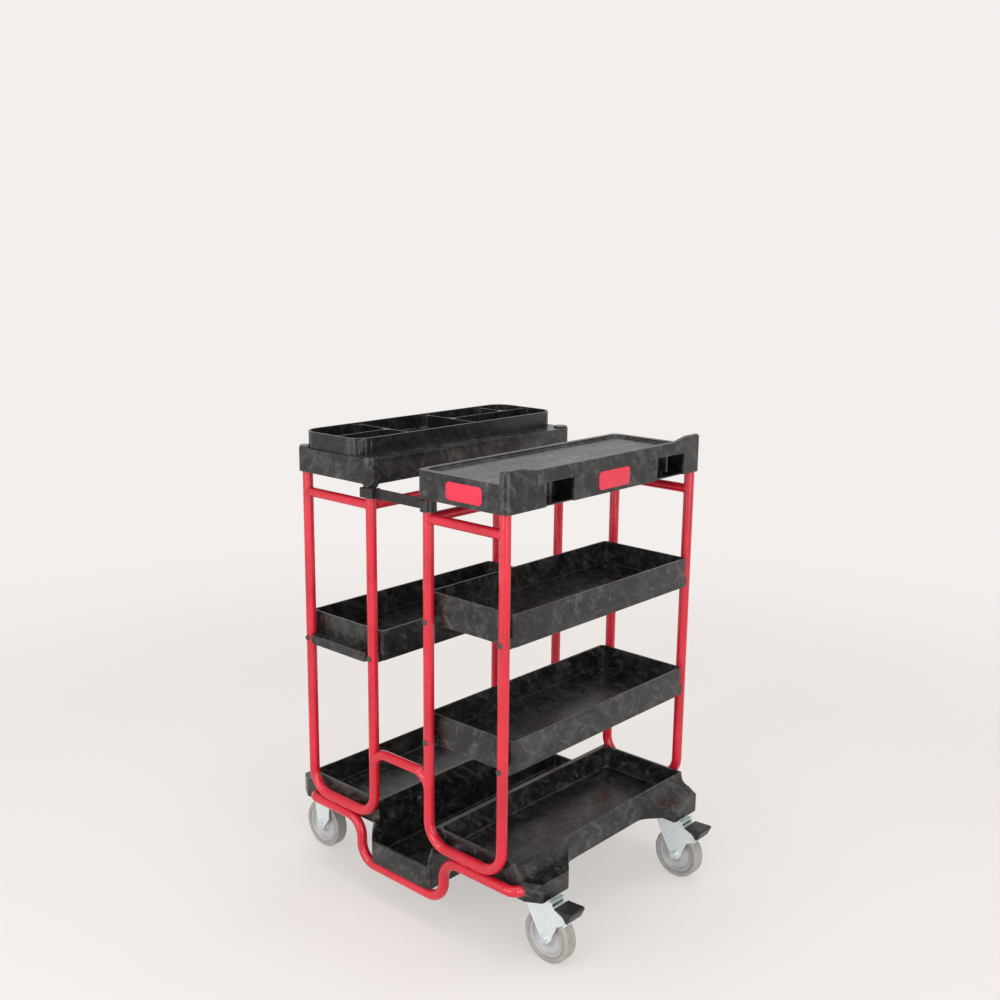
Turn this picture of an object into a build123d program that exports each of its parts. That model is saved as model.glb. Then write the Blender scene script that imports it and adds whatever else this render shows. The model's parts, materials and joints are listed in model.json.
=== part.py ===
from build123d import *
import math
import os

# Ladder and tool cart: a ladder stands in the well between two tube-framed
# shelf stacks on four swivel casters.  Millimetres, +Z up.  The ladder goes
# in from the front (-Y), the parts bin is on the left (-X) and the worktop
# is on the right (+X).  It is drawn about the middle of the ladder bay and
# moved at the end, so that the origin is on the floor under the middle of
# the whole cart, pedals included.

# ---- driving dimensions -------------------------------------------------
CENTRE_SHIFT_X = -8.0      # from the middle of the ladder bay to the origin
POST_INNER_X = 90.0        # posts beside the ladder bay
POST_OUTER_X = 307.0       # posts on the outer sides
POST_Y = 326.0             # front and back rows of posts
TUBE_R = 12.0
TUBE_WALL = 1.5
RAIL_R = 11.0
RAIL_Z = 948.0
POST_TOP_Z = 1042.0
LOOP_Z = 206.0             # bottom bar of each frame loop
LOOP_BEND_R = 55.0
BASE_TUBE_WING_Z = LOOP_Z - 2 * TUBE_R + 0.4   # welded under the loops
BASE_TUBE_WELL_Z = 81.0    # where it dips under the ladder well
BASE_TUBE_DIP_X = 136.0
BASE_TUBE_BEND_R = 45.0
BASE_TUBE_RIGHT_END = (348.0, -288.0, 24.0)   # x, y and bend radius of its ends
BASE_TUBE_LEFT_END = (316.0, -306.0, 18.0)    # drawn on the right
ARCH_Z = 369.0
ARCH_BEND_R = 42.0
ARCH_TUBE_R = 11.5         # a little thinner than the posts it is coped to
SKIN = 4.0                 # wall of the moulded parts

DECK_CORNER_R = 19.0       # deck corners are round about the posts
DECK_Y = POST_Y + DECK_CORNER_R
DECK_IN_X = POST_INNER_X - DECK_CORNER_R
DECK_OUT_X = POST_OUTER_X + DECK_CORNER_R
WORKTOP_BOTTOM_Z = 992.0
WORKTOP_TOP_Z = 1053.0
WORKTOP_PAN_DEPTH = 7.0
LIP_TOP_Z = 1071.0
LIP_END_Z = 1080.0
LIP_WIDTH = DECK_CORNER_R     # so that its ends round off in one sweep
LIP_EDGE_R = 6.0
GRIP_TOP_Z = 1043.0        # hand grips: openings in the worktop's outer side
GRIP_DEPTH = 26.0          # how far back their top reaches
SCOOP_BOTTOM_Z = 1016.0
SCOOP_DEPTH = 6.0
GRIP_BAR_R = 6.0
GRIPS_Y = ((-283.0, -224.0, -134.0), (106.0, 165.0, 272.0))   # scoop, bar, far end
GRIP_RIB_Y = (208.0, 213.0)
LIP_BEAD_Y = (-130.0, 96.0)    # upright half-round beads on the lip
LIP_BEAD_R = 4.5
LEFT_DECK_BOTTOM_Z = 997.0
LEFT_DECK_TOP_Z = 1052.0
SOCKET_CLEAR = 0.1

SHELF_IN_X = 76.0
SHELF_OUT_X = 321.0
SHELF_Y = 311.0
SHELF_HEIGHT = 72.0
UPPER_SHELF_Z = 711.0
LOWER_SHELF_Z = 436.0
TOOL_SHELF_Z = 584.0
BOLT_Z_IN_SHELF = 10.0     # above the shelf's underside
NUT_SEAT_Y = 297.0         # inner face of the pads behind the shelf bolts
NUT_REACH = 13.0           # how far the nuts and bolt ends stand over the floor
LEDGE_Y = 340.0
LEDGE_HEIGHT = 22.0
TOOL_HOLE_R = 6.5
TOOL_HOLE_X = (-278.0, -250.0, -222.0, -175.0, -147.0, -119.0)
PLIER_SLOT_X = -198.5

BOLT_R = 2.9
BOLT_HOLE_R = 3.0
BOLT_HEAD_R = 6.2
BOLT_HEAD_HEIGHT = 3.2
NUT_R = 5.6
NUT_THICK = 4.5
PLATE_BOLT_R = 3.4
PLATE_HOLE_R = 3.5

BASE_IN_X = 98.0
BASE_SIDE_X = 336.0
BASE_Y = 310.0
BASE_BOTTOM_Z = 175.0
RIM_Z = 238.0
RIM_WALL = 6.0
TRAY_FLOOR_Z = 181.0
EAR_X = 392.0
EAR_CORNER = (358.0, -290.0)   # where each ear's chamfer starts and ends
EAR_ROOT_Y = -138.0
EAR_ROOT_R = 45.0
EAR_DISH_R = 44.0          # shallow round recess in the top of each ear
EAR_DISH_DEPTH = 1.6
EAR_BOTTOM_Z = 162.0
EAR_EDGE_Z = 204.0
WELL_Y = 336.0
WELL_BOTTOM_Z = 94.4
WELL_FLOOR_Z = 111.0
WELL_LIP_Z = 147.0
WELL_WALL = 6.0
WELL_RIB_Y = (-220.0, -110.0, 0.0, 110.0, 220.0)
WELL_BOLT_Y = 180.0
WELL_BOLT_Z = 200.0
WELL_BOLT_LENGTH = 17.5

BIN_IN_X = -118.0
BIN_OUT_X = -316.0
BIN_END_Y = 338.0
BIN_HEIGHT = 39.0
BIN_WALL = 3.0
BIN_CORNER_R = 46.0
BIN_FLUTE_R = 5.0
BIN_FLUTE_DEPTH = 1.8
BIN_POCKET_R = 22.0
BIN_DIVIDER_DROP = 3.0
BIN_CROSS_Y = (-168.0, 55.0, 250.0)    # middle lines of its cross walls
BIN_SPLIT_X = (-204.0, -222.0)         # of its lengthwise walls, front and back

GATE_LOW_Z = 966.0
GATE_HEIGHT = 21.0
GATE_THICK = 9.0
GATE_RING_R = 18.0
GATE_PIVOT_CLEAR = 0.06

CASTER_X = 346.0
CASTER_Y = (-238.0, 254.0)     # front and back
CASTER_TRAIL = 26.0
WHEEL_R = 60.0
WHEEL_WIDTH = 32.0
WHEEL_CORE_R = 47.0
PLATE_X = 90.0
PLATE_Y = 66.0
PLATE_THICK = 3.5
PLATE_BOLT_X = 36.0
PLATE_BOLT_Y = 25.0
KINGPIN_R = 6.0
AXLE_R = 5.0
AXLE_CLEAR = 0.06
FORK_THICK = 3.0
FORK_INSIDE = 37.0         # between the arms
FORK_CROWN_Z = 150.0       # top face of the crown
FORK_CREASE_X = 14.0       # the arms are bent outwards from here to their front edge
FORK_FLARE = 4.0
PEDAL_PIVOT = (70.0, 118.0)  # from the swivel axis outwards, and height
PEDAL_PIN_R = 3.0
PEDAL_HALF_WIDTH = 24.0

LABEL_THICK = 1.6
LABEL_Z = 1021.0
FRONT_LABEL = (210.5, 100.0, 38.0)     # middle, width and height
SIDE_LABEL = (4.0, 108.0, 40.0)


# ---- small helpers ------------------------------------------------------
def block(x0, x1, y0, y1, z0, z1):
    size = (x1 - x0, y1 - y0, z1 - z0)
    centre = ((x0 + x1) / 2, (y0 + y1) / 2, (z0 + z1) / 2)
    return Pos(*centre) * Box(*size)


def rod_z(x, y, z0, z1, radius):
    return Pos(x, y, (z0 + z1) / 2) * Cylinder(radius, z1 - z0)


def rod_y(x, y0, y1, z, radius):
    return Pos(x, (y0 + y1) / 2, z) * Rot(90, 0, 0) * Cylinder(radius, y1 - y0)


def rod_x(x0, x1, y, z, radius):
    return Pos((x0 + x1) / 2, y, z) * Rot(0, 90, 0) * Cylinder(radius, x1 - x0)


def rounded_slab(x0, x1, y0, y1, z0, z1, radius):
    centre = ((x0 + x1) / 2, (y0 + y1) / 2, z0)
    return extrude(Pos(*centre) * RectangleRounded(x1 - x0, y1 - y0, radius), z1 - z0)


def swept(section, path):
    return sweep(Plane(origin=path @ 0, z_dir=path % 0) * section, path=path)


def bent_rod(points, bend_radius, radius):
    return swept(Circle(radius), FilletPolyline(*points, radius=bend_radius))


def bent_tube(points, bend_radius, radius=TUBE_R):
    ring = Circle(radius) - Circle(radius - TUBE_WALL)
    return swept(ring, FilletPolyline(*points, radius=bend_radius))


def straight_tube(start, end, radius):
    return swept(Circle(radius) - Circle(radius - TUBE_WALL), Line(start, end))


def largest(shape):
    return shape.solids().sort_by(SortBy.VOLUME)[-1]


def mirrored(shape, side, end):
    """The same shape on the other side (side = -1) or at the back (end = -1)."""
    if side < 0:
        shape = mirror(shape, about=Plane.YZ)
    if end < 0:
        shape = mirror(shape, about=Plane.XZ)
    return shape


def save(shape, node):
    solids = [Pos(CENTRE_SHIFT_X, 0, 0) * solid for solid in shape.solids()]
    export_step(solids[0] if len(solids) == 1 else Compound(children=solids), f"parts/{node}.step")


# ---- tube frame ---------------------------------------------------------
def shelf_heights(side):
    """Undersides of the shelves that hang on the posts of one side."""
    return (UPPER_SHELF_Z, LOWER_SHELF_Z) if side > 0 else (TOOL_SHELF_Z,)


def frame_loop(side):
    """U-shaped front loop: two posts and the bar between them."""
    y = -POST_Y
    inner = side * POST_INNER_X
    outer = side * POST_OUTER_X
    loop = bent_tube([(inner, y, POST_TOP_Z), (inner, y, LOOP_Z),
                      (outer, y, LOOP_Z), (outer, y, POST_TOP_Z)], LOOP_BEND_R)
    for x in (inner, outer):
        for z in shelf_heights(side):
            loop -= rod_y(x, y - 20, y + 20, z + BOLT_Z_IN_SHELF, BOLT_HOLE_R)
    for x in base_bolt_x(side):
        loop -= rod_y(x, y, y + 20, LOOP_Z, BOLT_HOLE_R)
    return loop


def base_bolt_x(side):
    middle = side * (POST_INNER_X + POST_OUTER_X) / 2
    return (middle - 38, middle + 38)


def short_rail(side):
    """Cross rail between the two front posts of one side, coped to them."""
    inner = side * POST_INNER_X
    outer = side * POST_OUTER_X
    rail = straight_tube((inner, -POST_Y, RAIL_Z), (outer, -POST_Y, RAIL_Z), RAIL_R)
    for x in (inner, outer):
        rail -= rod_z(x, -POST_Y, RAIL_Z - 20, RAIL_Z + 20, TUBE_R)
    return largest(rail)


def bay_rail(side):
    """Long rail beside the ladder bay, from the front post to the back one."""
    x = side * POST_INNER_X
    rail = straight_tube((x, -POST_Y, RAIL_Z), (x, POST_Y, RAIL_Z), RAIL_R)
    for y in (-POST_Y, POST_Y):
        rail -= rod_z(x, y, RAIL_Z - 20, RAIL_Z + 20, TUBE_R)
        rail -= rod_x(x - 40, x + 40, y, RAIL_Z, RAIL_R)
    return largest(rail)


def arch():
    """Hoop over the mouth of the ladder well, welded to the inner posts."""
    x = POST_INNER_X
    leg_z = ARCH_Z - ARCH_BEND_R - 1
    hoop = bent_tube([(-x, -POST_Y, leg_z), (-x, -POST_Y, ARCH_Z),
                      (x, -POST_Y, ARCH_Z), (x, -POST_Y, leg_z)], ARCH_BEND_R, ARCH_TUBE_R)
    for post_x in (-x, x):
        hoop -= rod_z(post_x, -POST_Y, leg_z - 20, ARCH_Z + 20, TUBE_R)
    return largest(hoop)


def base_tube_half(end):
    """Route of the front base tube on the right: end let into the base, wing, dip."""
    end_x, end_y, bend_radius = end
    points = [(end_x, end_y, BASE_TUBE_WING_Z), (end_x, -POST_Y, BASE_TUBE_WING_Z),
              (BASE_TUBE_DIP_X, -POST_Y, BASE_TUBE_WING_Z),
              (BASE_TUBE_DIP_X, -POST_Y, BASE_TUBE_WELL_Z)]
    return points, [bend_radius, BASE_TUBE_BEND_R, BASE_TUBE_BEND_R]


def base_tube():
    """Front tube under both loops, dipping under the ladder well."""
    right, right_radii = base_tube_half(BASE_TUBE_RIGHT_END)
    left, left_radii = base_tube_half(BASE_TUBE_LEFT_END)
    left = [(-px, py, pz) for px, py, pz in reversed(left)]
    return bent_tube(right + left, right_radii + left_radii[::-1])


# ---- base mouldings -----------------------------------------------------
def ear_outline():
    """Plan of the right-hand base tray with an ear at each end."""
    corner_x, corner_y = EAR_CORNER
    half = [(BASE_IN_X, -BASE_Y), (corner_x, -BASE_Y), (EAR_X, corner_y), (EAR_X, -204),
            (BASE_SIDE_X, EAR_ROOT_Y)]
    outline = half + [(px, -py) for px, py in reversed(half)]
    face = make_face(Polyline(*outline, close=True))
    face = fillet([v for v in face.vertices() if abs(abs(v.Y) + EAR_ROOT_Y) < 1], EAR_ROOT_R)
    return fillet([v for v in face.vertices() if v.X > EAR_X - 1], 7)


def ear_slope(drop):
    """Everything over the ears' tops, which fall away from the rim in a hollow curve."""
    low_z = EAR_EDGE_Z - drop
    slope = Bezier((BASE_SIDE_X - 3, RIM_Z - drop), (BASE_SIDE_X - 1.4, low_z + 2),
                   (BASE_SIDE_X + 14, low_z + 1), (EAR_X + 2, low_z))
    over = Polyline((EAR_X + 2, low_z), (EAR_X + 2, RIM_Z + 5), (BASE_SIDE_X - 3, RIM_Z + 5),
                    (BASE_SIDE_X - 3, RIM_Z - drop))
    return extrude(Plane.XZ * make_face([slope, over]), 400, both=True)


def base_tray(tube_end):
    """Right-hand base tray with its two caster ears."""
    face = ear_outline()
    body = extrude(Pos(0, 0, BASE_BOTTOM_Z) * face, RIM_Z - BASE_BOTTOM_Z)
    pads = extrude(Pos(0, 0, EAR_BOTTOM_Z) * face, BASE_BOTTOM_Z - EAR_BOTTOM_Z)
    pads &= (block(296, EAR_X + 1, -BASE_Y - 1, -200, 0, 300)
             + block(296, EAR_X + 1, 200, BASE_Y + 1, 0, 300))
    tray = body + pads
    tray -= ear_slope(0)
    dishes = ear_slope(EAR_DISH_DEPTH) & block(BASE_SIDE_X + 2, EAR_X + 5, -400, 400, 0, RIM_Z)
    for y in CASTER_Y:
        tray -= dishes & rod_z(CASTER_X, y, 0, RIM_Z, EAR_DISH_R)
    inside = rounded_slab(BASE_IN_X + RIM_WALL, BASE_SIDE_X - RIM_WALL,
                          -BASE_Y + RIM_WALL, BASE_Y - RIM_WALL, TRAY_FLOOR_Z, RIM_Z + 10, 14)
    inside = fillet(inside.faces().sort_by(Axis.Z)[0].edges(), 6)
    tray -= inside
    for y in CASTER_Y:
        for dx in (-PLATE_BOLT_X, PLATE_BOLT_X):
            for dy in (-PLATE_BOLT_Y, PLATE_BOLT_Y):
                hole_top = TRAY_FLOOR_Z - 3 if dx < 0 else EAR_BOTTOM_Z + 22
                tray -= rod_z(CASTER_X + dx, y + dy, EAR_BOTTOM_Z - 1, hole_top, PLATE_HOLE_R)
    points, radii = base_tube_half(tube_end)
    socket = bent_rod(points, radii[:2], TUBE_R + 0.1) & block(200, 500, -BASE_Y - 1, 0, 0, 400)
    for end in (-1, 1):
        tray -= mirrored(socket, 1, -end)
        for x in base_bolt_x(1):
            pad = rod_y(x, BASE_Y - 1, BASE_Y + 8, LOOP_Z, 9)
            pad -= rod_x(x - 20, x + 20, POST_Y, LOOP_Z, TUBE_R)
            hole = rod_y(x, BASE_Y - 20, BASE_Y + 20, LOOP_Z, BOLT_HOLE_R)
            tray += mirrored(pad, 1, -end)
            tray -= mirrored(hole, 1, -end)
        tray -= rod_x(BASE_IN_X - 5, BASE_IN_X + 10, end * WELL_BOLT_Y, WELL_BOLT_Z, BOLT_HOLE_R)
    return tray


def ladder_well():
    """Channel between the base trays; the ladder's feet stand on its floor."""
    side = [(-WELL_Y, WELL_BOTTOM_Z), (-WELL_Y, WELL_LIP_Z), (-WELL_Y + 13, 188),
            (-BASE_Y - 1, 190), (-BASE_Y - 1, RIM_Z)]
    outline = side + [(-py, pz) for py, pz in reversed(side)]
    profile = Plane.YZ * make_face(Polyline(*outline, close=True))
    well = extrude(profile, BASE_IN_X, both=True)
    lip_edges = [e for e in well.edges().filter_by(Axis.Z)
                 if e.center().Z < WELL_LIP_Z and abs(e.center().Y) > WELL_Y - 1]
    well = fillet(lip_edges, 12)
    inner_x = BASE_IN_X - WELL_WALL
    inner_y = WELL_Y - WELL_WALL
    hollow = rounded_slab(-inner_x, inner_x, -inner_y, inner_y, WELL_FLOOR_Z, WELL_LIP_Z + 1, 8)
    hollow = fillet(hollow.faces().sort_by(Axis.Z)[0].edges(), 5)
    well -= hollow
    well -= block(-inner_x, inner_x, -400, 400, WELL_LIP_Z, RIM_Z + 10)
    under = rounded_slab(-inner_x, inner_x, -inner_y, inner_y, WELL_BOTTOM_Z - 5,
                         WELL_FLOOR_Z - 5, 8)
    well -= under
    rib_z0 = WELL_BOTTOM_Z + 2
    for y in WELL_RIB_Y:
        well += block(-inner_x - 1, inner_x + 1, y - 2, y + 2, rib_z0, WELL_FLOOR_Z - 4)
    well += block(-2, 2, -inner_y - 1, inner_y + 1, rib_z0, WELL_FLOOR_Z - 4)
    for x in (-BASE_IN_X, BASE_IN_X):
        for y in (-WELL_BOLT_Y, WELL_BOLT_Y):
            well -= rod_x(x - 10, x + 10, y, WELL_BOLT_Z, BOLT_HOLE_R)
    return well


# ---- shelves ------------------------------------------------------------
def hanging_shelf(side, z):
    """Open tray hung between the front and back posts of one side."""
    x0, x1 = sorted((side * SHELF_IN_X, side * SHELF_OUT_X))
    step = 2.5
    shelf = rounded_slab(x0 + step, x1 - step, -SHELF_Y + step, SHELF_Y - step, z, z + 16, 10)
    shelf += rounded_slab(x0, x1, -SHELF_Y, SHELF_Y, z + 14, z + SHELF_HEIGHT, 12)
    wall = SKIN + step
    inside = rounded_slab(x0 + wall, x1 - wall, -SHELF_Y + wall, SHELF_Y - wall,
                          z + SKIN, z + 17, 8)
    inside += rounded_slab(x0 + SKIN, x1 - SKIN, -SHELF_Y + SKIN, SHELF_Y - SKIN,
                           z + 17, z + SHELF_HEIGHT + 5, 9)
    shelf -= inside
    for x in (side * POST_INNER_X, side * POST_OUTER_X):
        for end in (-1, 1):
            y0, y1 = sorted((end * (SHELF_Y - 8), end * (POST_Y - 6)))
            pad = block(x - 10, x + 10, y0, y1, z, z + 22)
            pad -= rod_z(x, end * POST_Y, z - 10, z + 60, TUBE_R)
            shelf += pad
            y2, y3 = sorted((end * NUT_SEAT_Y, end * (SHELF_Y - 5)))
            shelf += block(x - 11, x + 11, y2, y3, z + 1, z + 22)
            y4, y5 = sorted((end * (NUT_SEAT_Y - NUT_REACH), end * NUT_SEAT_Y))
            shelf += block(x - 11, x + 11, y4, y5, z + 1, z + SKIN + 0.25)
            shelf -= rod_y(x, y0 - 20, y1 + 20, z + BOLT_Z_IN_SHELF, BOLT_HOLE_R)
    return shelf


def tool_rack():
    """Ledge with holes for hand tools, on the front of the left shelf."""
    x0 = -POST_OUTER_X + TUBE_R + 1.5
    x1 = -POST_INNER_X - TUBE_R - 1.5
    top_z = TOOL_SHELF_Z + LEDGE_HEIGHT
    rack = block(x0, x1, -LEDGE_Y, -SHELF_Y, TOOL_SHELF_Z, top_z)
    front_edges = [e for e in rack.edges().filter_by(Axis.Z) if e.center().Y < -LEDGE_Y + 1]
    rack = fillet(front_edges, 6)
    rack -= block(x0 + 3, x1 - 3, -LEDGE_Y + 3, -SHELF_Y - 3, TOOL_SHELF_Z - 1, top_z - SKIN)
    hole_y = -(LEDGE_Y + SHELF_Y) / 2
    for x in TOOL_HOLE_X:
        rack -= rod_z(x, hole_y, top_z - 10, top_z + 5, TOOL_HOLE_R)
    slot = Pos(PLIER_SLOT_X, hole_y, top_z - 10) * SlotOverall(26, 12)
    return rack - extrude(slot, 15)


# ---- decks --------------------------------------------------------------
def post_sockets(z0, z1):
    """Round bosses inside the corners, over the four post tops of the right-hand side."""
    bosses = []
    for x in (POST_INNER_X, POST_OUTER_X):
        for y in (-POST_Y, POST_Y):
            bosses.append(rod_z(x, y, z0, z1, DECK_CORNER_R - 2))
    return bosses


def bay_collars(z0, height):
    """Collars that narrow down the posts beside the ladder bay, below the deck."""
    collar = Cone(DECK_CORNER_R - 4.5, DECK_CORNER_R, height)
    return [Pos(POST_INNER_X, y, z0 - height / 2) * collar for y in (-POST_Y, POST_Y)]


def deck_shell(z0, z1):
    """Open-bottomed box with round corners about the posts."""
    shell = rounded_slab(DECK_IN_X, DECK_OUT_X, -DECK_Y, DECK_Y, z0, z1, DECK_CORNER_R)
    shell -= rounded_slab(DECK_IN_X + SKIN, DECK_OUT_X - SKIN, -DECK_Y + SKIN, DECK_Y - SKIN,
                          z0 - 1, z1 - 14, DECK_CORNER_R - SKIN)
    return shell


def cut_sockets(deck):
    for x in (POST_INNER_X, POST_OUTER_X):
        for y in (-POST_Y, POST_Y):
            deck -= rod_z(x, y, 900, POST_TOP_Z, TUBE_R + SOCKET_CLEAR)
    return deck


def worktop():
    """Right-hand work surface with a raised outer lip and two finger grips."""
    deck = deck_shell(WORKTOP_BOTTOM_Z, WORKTOP_TOP_Z)
    deck += outer_lip()
    for piece in (post_sockets(WORKTOP_BOTTOM_Z, WORKTOP_TOP_Z - 5)
                  + bay_collars(WORKTOP_BOTTOM_Z, 3)):
        deck += piece
    pan = rounded_slab(DECK_IN_X + 13, DECK_OUT_X - LIP_WIDTH - 1, -DECK_Y + 15, DECK_Y - 15,
                       WORKTOP_TOP_Z - WORKTOP_PAN_DEPTH, WORKTOP_TOP_Z + 30, 16)
    deck -= fillet(pan.faces().sort_by(Axis.Z)[0].edges(), 5)
    for y in LIP_BEAD_Y:
        deck += rod_z(DECK_OUT_X - 1.5, y, WORKTOP_TOP_Z - 3, LIP_TOP_Z - 3, LIP_BEAD_R)
    for scoop_y, bar_y, end_y in GRIPS_Y:
        deck += block(DECK_OUT_X - SCOOP_DEPTH - SKIN, DECK_OUT_X - 1, scoop_y - SKIN, bar_y,
                      SCOOP_BOTTOM_Z - 6, GRIP_TOP_Z)
        deck -= block(DECK_OUT_X - GRIP_DEPTH, DECK_OUT_X + 1, bar_y, end_y,
                      WORKTOP_BOTTOM_Z - 1, GRIP_TOP_Z)
        deck -= grip_scoop(scoop_y, bar_y)
        deck += rod_z(DECK_OUT_X - GRIP_BAR_R, bar_y, SCOOP_BOTTOM_Z, GRIP_TOP_Z + 1, GRIP_BAR_R)
    deck += block(DECK_OUT_X - GRIP_DEPTH, DECK_OUT_X - 6, *GRIP_RIB_Y,
                  WORKTOP_BOTTOM_Z + 14, GRIP_TOP_Z + 1)
    return cut_sockets(deck)


def outer_lip():
    """Raised lip along the worktop's outer side, sweeping up at both ends."""
    z0 = WORKTOP_TOP_Z - 8
    top = [(-DECK_Y, LIP_END_Z), (-DECK_Y + 52, LIP_END_Z), (-DECK_Y + 100, LIP_TOP_Z),
           (DECK_Y - 100, LIP_TOP_Z), (DECK_Y - 52, LIP_END_Z), (DECK_Y, LIP_END_Z)]
    face = make_face(Polyline((-DECK_Y, z0), *top, (DECK_Y, z0), close=True))
    sweeps = [v for v in face.vertices() if abs(DECK_Y - 76 - abs(v.X)) < 26 and v.Y > z0 + 1]
    face = fillet(sweeps, 70)
    lip = extrude(Plane.YZ * face, 500)
    lip &= rounded_slab(DECK_IN_X, DECK_OUT_X, -DECK_Y, DECK_Y, z0, LIP_END_Z, DECK_CORNER_R)
    lip &= block(DECK_OUT_X - LIP_WIDTH, DECK_OUT_X + 1, -400, 400, z0, LIP_END_Z + 1)
    rim = [e for e in lip.edges() if e.center().Z > LIP_TOP_Z - 2 and abs((e % 0.5).X) < 0.9]
    return fillet(rim, LIP_EDGE_R)


def grip_scoop(y0, y1):
    """Shallow hollow beside a grip, deepest at its top."""
    x = DECK_OUT_X
    face = make_face(Polyline((x + 1, SCOOP_BOTTOM_Z), (x, SCOOP_BOTTOM_Z),
                              (x - SCOOP_DEPTH, GRIP_TOP_Z - 1), (x + 1, GRIP_TOP_Z - 1), close=True))
    plane = Plane(origin=(0, y1, 0), x_dir=(1, 0, 0), z_dir=(0, -1, 0))
    return extrude(plane * face, y1 - y0)


def left_deck():
    """Left-hand deck that carries the parts bin, built on the right and mirrored."""
    deck = deck_shell(LEFT_DECK_BOTTOM_Z, LEFT_DECK_TOP_Z)
    for piece in (post_sockets(LEFT_DECK_BOTTOM_Z, LEFT_DECK_TOP_Z + 4)
                  + bay_collars(LEFT_DECK_BOTTOM_Z, 9)):
        deck += piece
    seat = rounded_slab(-BIN_IN_X - 1, -BIN_OUT_X + 1, -BIN_END_Y - 1, BIN_END_Y + 1,
                        LEFT_DECK_TOP_Z - 0.5, LEFT_DECK_TOP_Z + 10, BIN_CORNER_R)
    deck -= seat
    return mirror(cut_sockets(deck), about=Plane.YZ)


def bin_pockets():
    """Compartments as (x0, x1, y0, y1): two in front, a wide one, and three behind."""
    half = BIN_WALL / 2
    side = BIN_WALL + BIN_FLUTE_DEPTH
    x0 = BIN_OUT_X + side
    x1 = BIN_IN_X - side
    end = BIN_END_Y - side
    front_y, back_y, tail_y = BIN_CROSS_Y
    front_x, back_x = BIN_SPLIT_X
    return [(x0, front_x - half, -end, front_y - half), (front_x + half, x1, -end, front_y - half),
            (x0, x1, front_y + half, back_y - half), (back_x + half, x1, back_y + half, end),
            (x0, back_x - half, back_y + half, tail_y - half),
            (x0, back_x - half, tail_y + half, end)]


def parts_bin():
    """Long lift-off bin with fluted round corners and rounded compartments."""
    z0 = LEFT_DECK_TOP_Z
    z1 = z0 + BIN_HEIGHT
    body = rounded_slab(BIN_OUT_X, BIN_IN_X, -BIN_END_Y, BIN_END_Y, z0, z1, BIN_CORNER_R)
    side = BIN_WALL + BIN_FLUTE_DEPTH
    inside = rounded_slab(BIN_OUT_X + side, BIN_IN_X - side, -BIN_END_Y + side, BIN_END_Y - side,
                          z0 + BIN_WALL, z1 + 5, BIN_CORNER_R - side)
    for x0, x1, y0, y1 in bin_pockets():
        pocket = rounded_slab(x0, x1, y0, y1, z0 + BIN_WALL, z1 + 5, BIN_POCKET_R) & inside
        body -= fillet(pocket.faces().sort_by(Axis.Z)[0].edges(), 5)
    body -= inside & block(-400, 0, -400, 400, z1 - BIN_DIVIDER_DROP, z1 + 5)
    reach = BIN_CORNER_R + BIN_FLUTE_R - BIN_FLUTE_DEPTH
    for cx, turn in ((BIN_IN_X - BIN_CORNER_R, 1), (BIN_OUT_X + BIN_CORNER_R, -1)):
        for cy, ahead in ((-BIN_END_Y + BIN_CORNER_R, -1), (BIN_END_Y - BIN_CORNER_R, 1)):
            for step in range(5):
                angle = math.radians(9 + 18 * step)
                x = cx + turn * reach * math.cos(angle)
                y = cy + ahead * reach * math.sin(angle)
                body -= rod_z(x, y, z0 - 1, z1 - 5, BIN_FLUTE_R)
    return body


# ---- gate ---------------------------------------------------------------
def gate_bar():
    """Retaining bar: a ring on the right front post and a hook on the left one."""
    z0 = GATE_LOW_Z
    z1 = z0 + GATE_HEIGHT
    px = POST_INNER_X
    y = -POST_Y
    reach = 2 * px
    ring = rod_z(px, y, z0 - 3, z1 + 0.5, GATE_RING_R)
    bar = block(-px + TUBE_R + 2, px, y - GATE_THICK / 2, y + GATE_THICK / 2, z0, z1)
    # hook: a block about the left post, open to the back along the swing circle
    hook = block(-px - 20, -px + 20, y - 17, y + 10, z0, z1)
    channel = rod_z(px, y, z0 - 1, z1 + 1, reach + TUBE_R + 0.4)
    channel -= rod_z(px, y, z0 - 2, z1 + 2, reach - TUBE_R - 0.4)
    hook -= channel & block(-px - 40, -px + 40, y, y + 60, z0 - 1, z1 + 1)
    hook -= rod_z(-px, y, z0 - 1, z1 + 1, TUBE_R + 0.4)
    hook = fillet(hook.edges().filter_by(Axis.Z).sort_by(Axis.Y)[:2], 4)
    gate = ring + bar + hook
    return gate - rod_z(px, y, z0 - 10, z1 + 10, TUBE_R + GATE_PIVOT_CLEAR)


# ---- fasteners and plates ----------------------------------------------
def button_bolt(length, tube_radius=0.0):
    """Button-head bolt along +Y from its seat, which is flat or sits on a tube."""
    sink = 1.8 if tube_radius else 0.0
    head = rod_y(0, -BOLT_HEAD_HEIGHT, sink, 0, BOLT_HEAD_R)
    head = fillet(head.edges().filter_by(GeomType.CIRCLE).sort_by(Axis.Y)[0], 2.2)
    if tube_radius:
        head -= rod_z(0, tube_radius, -20, 20, tube_radius)
    socket = extrude(RegularPolygon(2.3, 6), BOLT_HEAD_HEIGHT / 2, both=True)
    head -= Pos(0, -BOLT_HEAD_HEIGHT, 0) * Rot(90, 0, 0) * socket
    return head + rod_y(0, -1, length, 0, BOLT_R)


def hex_nut(thick):
    """Nut along +Y, starting at the origin."""
    nut = Rot(-90, 0, 0) * extrude(RegularPolygon(NUT_R, 6), thick)
    return nut - rod_y(0, -1, thick + 1, 0, BOLT_R)


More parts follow.
